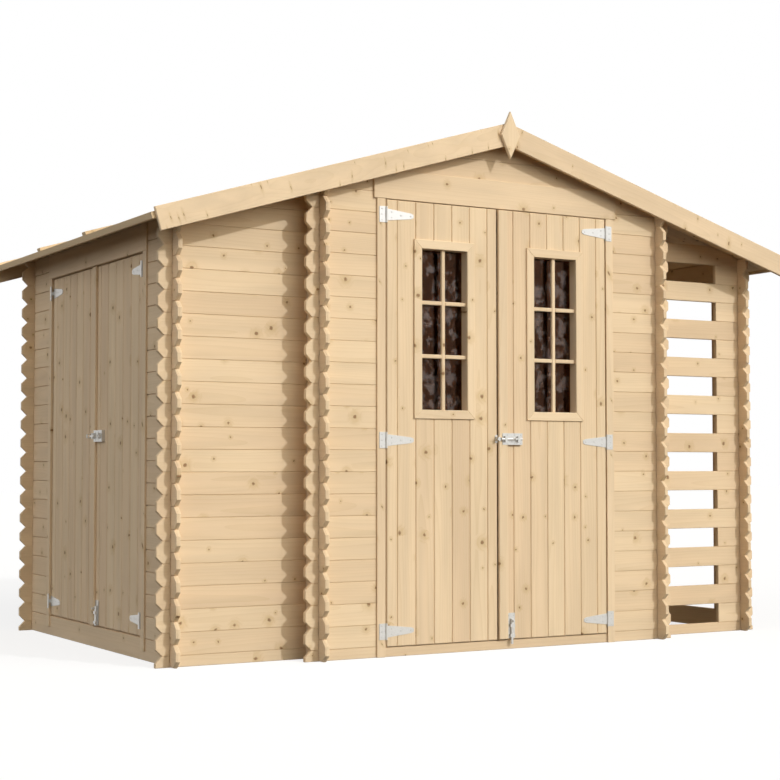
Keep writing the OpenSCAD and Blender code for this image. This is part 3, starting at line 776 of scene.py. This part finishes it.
def buildRoofBoards():
    pitch = 2 * roofY / roof["boards"]
    for side, node, seed in ((-1, "roof_left_boards", 41), (1, "roof_right_boards", 42)):
        down, out = slopeAxes(side)
        one = Stack(seed)
        t = roof["t"]
        y0 = -roofY
        pts = rect(0.0, roofL, roof["between"] / 2, pitch - roof["between"] / 2)
        if side < 0:
            pts = [(d, -w) for d, w in reversed(pts)]
        one.board(pts, Vector((0, y0, ridgeZ)) + out * t, down, (0, side, 0), t, 1.8)
        mesh = bpy.data.meshes.new(node + "_laid")
        verts = []
        for v in one.verts:                                   # the upper end is cut plumb at the ridge
            rel = v / mm - Vector((0, y0, ridgeZ))
            d, h = down.dot(rel), out.dot(rel)
            if d < 10:
                d = max(d, 0) - h * slope
            verts.append((Vector((0, y0, ridgeZ)) + down * d + out * h + Vector((0, rel.y, 0))) * mm)
        mesh.from_pydata(verts, [], one.faces)
        local = [(down.dot(v), v.y - y0 * mm - pitch * mm / 2, -out.dot(v) % 0.03) for v in verts]
        storeVectors(mesh, "boardLocal", local)
        obj = addObject(node + "_laid", mesh)
        applyTree(obj, roofTree, {"Boards": roof["boards"], "Pitch": pitch * mm, "Seed": seed,
                                  "Finish": finishes["roof_pine"]})
        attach(obj, "root")
        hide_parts(node)


buildRoofBoards()
print("roof boards")

# doorways, drawn across (u) and up (z) with the wall's outer face at 0 and outside towards -y
windowSizes = {"w": 303.0, "h": 758.0, "z": 1367.0, "u": 287.75, "trimW": 38.0, "trimT": 8.0,
               "liningT": 11.0, "liningD": 58.0,
               "barW": 17.0, "barT": 14.0, "barSet": 13.0, "barsZ": (1480.0, 1253.0)}


class Doorway:
    def __init__(self, place):
        front = place == "front"
        self.origin = Vector((0, -roomY, 0)) if front else Vector((-wallX, 0, 0))
        self.u = Vector((1, 0, 0)) if front else Vector((0, -1, 0))
        self.inward = Vector((0, 1, 0)) if front else Vector((1, 0, 0))
        self.leafY = -doors["proud"] if front else doors["sideSet"] - doors["proud"]
        self.head = frontHead if front else sideHead
        self.low = doors["frontLow"] if front else doors["sideLow"]
        self.joint = doors["frontJoint"] if front else doors["sideJoint"]

    # a flat board whose outer face is at depth y, with its outline given across and up
    def flat(self, stack, y, thick, pts, edge=1.6, upright=True, groove=None):
        start = self.origin + self.inward * y
        stack.board(pts, start, self.u, (0, 0, 1), thick, edge, upright, groove)

    # a long piece with a cross-section given across and in depth, standing between two heights
    def upright(self, stack, section, low, high, edge=1.2):
        base = len(stack.verts)
        start = Vector((self.origin.x, self.origin.y, high))
        stack.board(section, start, self.u, self.inward, high - low, edge)
        middle = sum(u for u, y in section) / len(section) * mm
        for k in range(base, len(stack.verts)):
            v, keep = stack.verts[k], stack.axes[k]
            stack.axes[k] = (v.z + keep[0], self.u.dot(v) - middle, self.inward.dot(v) % 0.3 - 0.1)


frontWay, sideWay = Doorway("front"), Doorway("side")


def postSection(side):
    g, t, p = lapGap, boardT, doors["proud"]
    inner, outer = postU, postU + doors["postW"]
    groove = outer - doors["grooveD"] - g
    pts = [(inner, -p), (outer, -p), (outer, -g), (groove, -g),
           (groove, t + g), (outer, t + g), (outer, t + p), (inner, t + p)]
    return pts if side > 0 else mirrorPts(pts)


def buildPosts():
    stack = Stack(51)
    for side in (-1, 1):
        frontWay.upright(stack, postSection(side), 0, frontHead)
    t, down = boardT + lapGap, doors["stopDown"]
    for z0, z1 in ((0, halfH - doors["gap"] + down), (frontHead - down, frontHead + down)):    # stops
        frontWay.flat(stack, t, doors["stopT"], rect(-postU, postU, z0, z1), 1.5, False)
    stack.finish("front_door_post_planed", "front_door_posts")
    stack = Stack(52)
    inner, outer = postU, postU + doors["postW"]
    for side in (-1, 1):
        sideWay.upright(stack, postSection(side), boardH, sideHead)
        foot = rect(inner, outer, boardH - doors["postLap"], boardH)
        sideWay.flat(stack, -doors["proud"], doors["proud"], foot if side > 0 else mirrorPts(foot), 1.2)
    behind = sideWay.leafY + doors["leafT"] + doors["gap"]
    sideWay.flat(stack, t, behind - t, rect(-inner, inner, sideHead, sideHead + down), 0.4, False)
    stop = rect(-inner, inner, sideHead - down, sideHead + down)
    sideWay.flat(stack, behind, doors["stopT"], stop, 1.5, False)
    stack.finish("side_door_post_planed", "side_door_posts")
    reach = outer + doors["headOut"]
    stack = Stack(53)
    frontWay.flat(stack, -doors["headT"], doors["headT"],
                  rect(-reach, reach, frontHead, frontHead + doors["headH"]), 2.0, False)
    stack.finish("front_head_planed", "front_head_board")
    stack = Stack(54)
    top = eaveZ - doors["headT"] * slope - doors["seatGap"]
    sideWay.flat(stack, -doors["headT"], doors["headT"], rect(-outer, outer, sideHead, top), 2.0, False)
    stack.finish("side_head_planed", "side_head_board")


buildPosts()


def leafSpan(strip):
    if strip:
        return -doors["shift"], postU - doors["gap"]
    return -postU + doors["gap"], -doors["shift"] - doors["gap"]


# half the width and half the height of the hole for a window
def windowHole():
    rim = windowSizes["liningT"] - windowSizes["trimW"] + doors["seatGap"]
    return windowSizes["w"] / 2 + rim, windowSizes["h"] / 2 + rim


# upright boards of one leaf, cut round a window where it has one
def leafBoards(stack, way, strip, first, window):
    low, high = way.low - doors["close"], way.head - doors["gap"] + doors["close"]
    u0, u1 = leafSpan(strip)
    thin, rim = doors["thinBoard"], doors["thinRim"]           # the trim covers what is thinner than rim
    inside = [u for u in (first + boardH * k for k in range(8)) if u0 + thin < u < u1 - thin]
    for a, b in zip([u0] + inside, inside + [u1]):
        pieces = [rect(a, b, low, high)]
        if window:
            half, tall = windowHole()
            w0, w1 = window - half, window + half
            z0, z1 = windowSizes["z"] - tall, windowSizes["z"] + tall
            if a > w0 - rim and b < w1 + rim:
                pieces = [rect(a, b, low, z0), rect(a, b, z1, high)]
            elif a < w0 < b:
                pieces = [[(a, low), (b, low), (b, z0), (w0, z0), (w0, z1), (b, z1), (b, high), (a, high)]]
            elif a < w1 < b:
                pieces = [[(a, low), (b, low), (b, high), (a, high), (a, z1), (w1, z1), (w1, z0), (a, z0)]]
        for pts in pieces:
            way.flat(stack, way.leafY, doors["leafT"], pts, **way.joint)


def buildLeaf(name, way, strip, first, window, seed):
    stack = Stack(seed)
    leafBoards(stack, way, strip, first, window)
    stack.finish(name + "_leaf_boards", name + "_leaf")
    stack = Stack(seed + 1)
    u0, u1 = leafSpan(strip)
    top = way.head - doors["gap"]
    half = doors["ledgeH"] / 2
    heights = [way.low + doors["ledgeOff"] + half, doors["ledgeMid"], top - doors["ledgeOff"] - half]
    if window:
        away = windowHole()[1] + doors["ledgeAway"] + half
        heights[1:] = [windowSizes["z"] - away, windowSizes["z"] + away]
    for z in heights:
        way.flat(stack, way.leafY + doors["leafT"], doors["ledgeT"],
                 rect(u0 + doors["ledgeIn"], u1 - doors["ledgeIn"], z - half, z + half), 2.5, False)
    stack.finish(name + "_ledge_boards", name + "_ledges")
    if strip:
        stack = Stack(seed + 2)
        way.flat(stack, way.leafY - doors["coverT"], doors["coverT"],
                 rect(u0 - doors["close"], u0 + doors["coverW"], way.low, top), 2.0)
        stack.finish(name + "_strip_planed", name + "_strip")


def buildWindow(name, u, seed):
    w, stack = windowSizes, Stack(seed)
    face = -doors["proud"] - w["trimT"]
    ow, oh, z = w["w"] / 2, w["h"] / 2, w["z"]
    iw, ih = ow - w["trimW"], oh - w["trimW"]
    outer, inner = rect(u - ow, u + ow, z - oh, z + oh), rect(u - iw, u + iw, z - ih, z + ih)
    for k in range(4):                                         # trim, mitred at the corners
        j = (k + 1) % 4
        frontWay.flat(stack, face, w["trimT"], [outer[k], outer[j], inner[j], inner[k]], 1.5, k % 2 == 1)
    lw, lh = iw + w["liningT"], ih + w["liningT"]
    back, deep = face + w["trimT"], w["liningD"] - w["trimT"]
    for u0, u1 in ((-lw, -iw), (iw, lw)):                      # lining
        frontWay.flat(stack, back, deep, rect(u + u0, u + u1, z - lh, z + lh), 0.6)
    for z0, z1 in ((-lh, -ih), (ih, lh)):
        frontWay.flat(stack, back, deep, rect(u - iw, u + iw, z + z0, z + z1), 0.6, False)
    front, half = face + w["barSet"], w["barW"] / 2
    frontWay.flat(stack, front, w["barT"], rect(u - half, u + half, z - ih, z + ih), 2.5)
    for barZ in w["barsZ"]:
        for a, b in ((u - iw, u - half), (u + half, u + iw)):
            frontWay.flat(stack, front, w["barT"], rect(a, b, barZ - half, barZ + half), 2.5, False)
    stack.finish(name + "_window_joinery", name + "_window_frame")


buildLeaf("front_left", frontWay, False, -519, -windowSizes["u"], 61)
buildLeaf("front_right", frontWay, True, 67, windowSizes["u"], 64)
buildLeaf("side_front", sideWay, True, 67, None, 67)
buildLeaf("side_back", sideWay, False, -519, None, 70)
buildWindow("front_left", -windowSizes["u"], 73)
buildWindow("front_right", windowSizes["u"], 74)
print("doors and windows")

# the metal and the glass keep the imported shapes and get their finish
for node, slot in slotOf.items():
    if slot in ("zinc_fittings", "window_glass"):
        obj = frame["nodes"][node]
        obj.data.materials.clear()
        obj.data.materials.append(finishes[slot])

# screws in the hinges and bolts: across from the hinge line or the plate's corner, and up
screws = {"r": 3.6, "h": 1.3, "slot": 0.55}
hinges = {"u": 572.5, "metalT": 2.5, "frontZ": (106.0, 897.0, 1840.0), "sideZ": (160.0, 1600.0),
          "plate": [(-21, 24), (-21, 0), (-21, -24)], "strap": [(26, 11), (26, -11), (70, 0), (118, 0)]}
bolts = {"frontLatch": (0.0, 906.0), "sideLatch": (24.0, 920.0), "dropU": 50.5,
         "latch": [(26, 18), (26, -18), (62, 18), (62, -18), (96, 18), (96, -18)],
         "drop": [(-12, 34), (12, 34), (-12, 98), (12, 98)]}


# a low dome with a sunk cross
def screwHead():
    n, h, w, r = 12, screws["h"], screws["slot"], 0.5 * screws["r"]
    verts, faces = [], [list(reversed(range(n)))]
    turns = [2 * math.pi * k / n for k in range(n)]
    for size, z in ((screws["r"], 0.0), (screws["r"], 0.45 * h), (0.72 * screws["r"], h)):
        verts += [(size * math.cos(a), size * math.sin(a), z) for a in turns]
    cross = [(w, w), (w, r), (-w, r), (-w, w), (-r, w), (-r, -w),
             (-w, -w), (-w, -r), (w, -r), (w, -w), (r, -w), (r, w)]
    verts += [(x, y, z) for z in (h, 0.4 * h) for x, y in cross]
    start = min(range(n), key=lambda k: math.dist(verts[2 * n + k][:2], cross[0]))
    for row, shift in ((0, 0), (1, 0), (2, start), (3, 0)):
        for k in range(n):
            a, b = row * n + (k + shift) % n, row * n + (k + shift + 1) % n
            c, d = (row + 1) * n + k, (row + 1) * n + (k + 1) % n
            faces.append([a, b, d, c])
    faces.append([4 * n + k for k in range(n)])
    mesh = bpy.data.meshes.new("screwHead")
    mesh.from_pydata([tuple(c * mm for c in v) for v in verts], [], faces)
    return addObject("screwHead", mesh)


def screwTree():
    tree, gin, gout = geometryGroup("setScrews", [("Head", "Object", None), ("Seed", "Int", None)])
    head = addNode(tree, "GeometryNodeObjectInfo", {"Object": gin.outputs["Head"]})
    turn = addNode(tree, "FunctionNodeAlignEulerToVector", {"Vector": namedVector(tree, "facing")})
    turn.axis = "Z"
    put = addNode(tree, "GeometryNodeInstanceOnPoints", {
        "Points": gin.outputs["Geometry"], "Instance": head.outputs["Geometry"],
        "Rotation": turn.outputs[0]})
    spin = randomNode(tree, "FLOAT", 0.0, 1.57, gin.outputs["Seed"])
    axis = addNode(tree, "ShaderNodeCombineXYZ", {"Z": live(spin.outputs)})
    wind = addNode(tree, "GeometryNodeRotateInstances", {"Instances": put.outputs[0],
                                                         "Rotation": axis.outputs[0]})
    paint(tree, realize(tree, wind.outputs[0]), gin, gout)
    return tree


def buildScrews():
    head, tree = screwHead(), screwTree()
    bodies = ("root", "front_left_door", "front_right_door", "side_front_door", "side_back_door")
    spots = {body: [] for body in bodies}

    def put(body, way, u, y, z):
        at = way.origin + way.u * u + way.inward * y + Vector((0, 0, z))
        spots[body].append((at * mm, -way.inward))

    ways = ((frontWay, hinges["frontZ"], bolts["frontLatch"], "front_left_door", "front_right_door"),
            (sideWay, hinges["sideZ"], bolts["sideLatch"], "side_back_door", "side_front_door"))
    for way, heights, latch, left, right in ways:
        face = way.leafY - hinges["metalT"]
        for side, body in ((-1, left), (1, right)):
            for z in heights:
                if way is frontWay:
                    for du, dz in hinges["plate"]:
                        put("root", way, side * (hinges["u"] - du), face, z + dz)
                for du, dz in hinges["strap"]:
                    put(body, way, side * (hinges["u"] - du), face, z + dz)
        for du, dz in bolts["latch"]:
            put(right, way, latch[0] + du, face - doors["coverT"], latch[1] + dz)
        for du, dz in bolts["drop"]:
            put(right, way, bolts["dropU"] + du, face, way.low + hinges["metalT"] + dz)
    for body, points in spots.items():
        mesh = bpy.data.meshes.new(body + "_screws")
        mesh.from_pydata([p for p, n in points], [], [])
        storeVectors(mesh, "facing", [n for p, n in points])
        obj = addObject(body + "_screws", mesh)
        applyTree(obj, tree, {"Head": head, "Seed": 7, "Finish": finishes["zinc_fittings"]})
        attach(obj, body)
    bpy.data.objects.remove(head)


buildScrews()
print("screws")

# light: a sun from the front right, two wide soft lamps, an even sky and a pale floor
light = {"lamps": {"sun": {"power": 1.36, "angle": 1.4, "way": (-0.50, 1.0, -0.555),
                           "tint": (0.95, 0.97, 1.0)},
                   "front": {"power": 3.2, "angle": 90.0, "way": (-0.46, 1.0, -0.14),
                             "tint": (1.0, 0.935, 0.785)},
                   "left": {"power": 1.00, "angle": 60.0, "way": (1.0, 0.02, -0.30),
                            "tint": (0.99, 0.99, 1.0)}},
         "sky": 0.24, "skyTint": (1.0, 0.98, 0.94), "floorBounce": 0.02, "roomFloor": 0.30,
         "floorShade": 0.30, "floorGlow": 0.78, "floorFar": 40.0, "roomIn": 0.008}


# the rays that show the plain background: straight to the camera, by way of metal or through glass
def seenRays(tree):
    path = tree.nodes.new("ShaderNodeLightPath")
    mirrored = mathNode(tree, "MAXIMUM", path.outputs["Is Glossy Ray"], path.outputs["Is Transmission Ray"])
    return mathNode(tree, "MAXIMUM", path.outputs["Is Camera Ray"], mirrored)


def mixShaders(tree, factor, a, b, out):
    mix = addNode(tree, "ShaderNodeMixShader", {0: factor, 1: a, 2: b})
    feed(tree, out, {"Surface": mix.outputs[0]})


def addLamp(name, look):
    data = bpy.data.lights.new(name, "SUN")
    data.energy = look["power"]
    data.angle = math.radians(look["angle"])
    data.color = look["tint"]
    obj = addObject(name, data)
    obj.rotation_euler = Vector(look["way"]).to_track_quat("-Z", "Y").to_euler()
    obj.visible_glossy = name == "sun"              # the metal doesn't mirror the soft lamps


def addSky():
    world = bpy.data.worlds.new("sky")
    bpy.context.scene.world = world
    tree, out = freshNodes(world, "ShaderNodeOutputWorld")
    fill = addNode(tree, "ShaderNodeBackground", {"Color": light["skyTint"], "Strength": light["sky"]})
    plain = addNode(tree, "ShaderNodeBackground", {"Color": (1, 1, 1), "Strength": 1.0})
    mixShaders(tree, seenRays(tree), fill.outputs[0], plain.outputs[0], out)


def floorMaterial(name, glows):
    mat = bpy.data.materials.new(name)
    tree, out = freshNodes(mat, "ShaderNodeOutputMaterial")
    grey = light["floorBounce" if glows else "roomFloor"]
    dull = addNode(tree, "ShaderNodeBsdfDiffuse", {"Color": (grey, grey, grey)})
    if not glows:
        feed(tree, out, {"Surface": dull.outputs[0]})
        return mat
    pale = addNode(tree, "ShaderNodeBsdfDiffuse", {"Color": (light["floorShade"],) * 3})
    glow = addNode(tree, "ShaderNodeEmission", {"Strength": light["floorGlow"]})
    both = addNode(tree, "ShaderNodeAddShader", {0: pale.outputs[0], 1: glow.outputs[0]})
    mixShaders(tree, seenRays(tree), dull.outputs[0], both.outputs[0], out)
    return mat


# the floor under the two closed rooms is dull, the rest is pale
def addFloor():
    far = light["floorFar"]
    wall, room, deep, bay = (d * mm - light["roomIn"] for d in (wallX, roomX, roomY, bayY))
    xs = [-far, -wall, -room, room, far]
    ys = [-far, -deep, -bay, bay, deep, far]
    verts = [(x, y, 0) for y in ys for x in xs]
    faces, indoors = [], []
    for j in range(len(ys) - 1):
        for i in range(len(xs) - 1):
            a = j * len(xs) + i
            faces.append([a, a + 1, a + 1 + len(xs), a + len(xs)])
            indoors.append(int((i == 2 and 1 <= j <= 3) or (i == 1 and j == 2)))
    mesh = bpy.data.meshes.new("pale_floor")
    mesh.from_pydata(verts, [], faces)
    mesh.materials.append(floorMaterial("pale_floor", True))
    mesh.materials.append(floorMaterial("room_floor", False))
    mesh.polygons.foreach_set("material_index", indoors)
    obj = addObject("pale_floor", mesh)


for name, look in light["lamps"].items():
    addLamp(name, look)
addSky()
addFloor()
bpy.context.scene.view_settings.view_transform = "Standard"
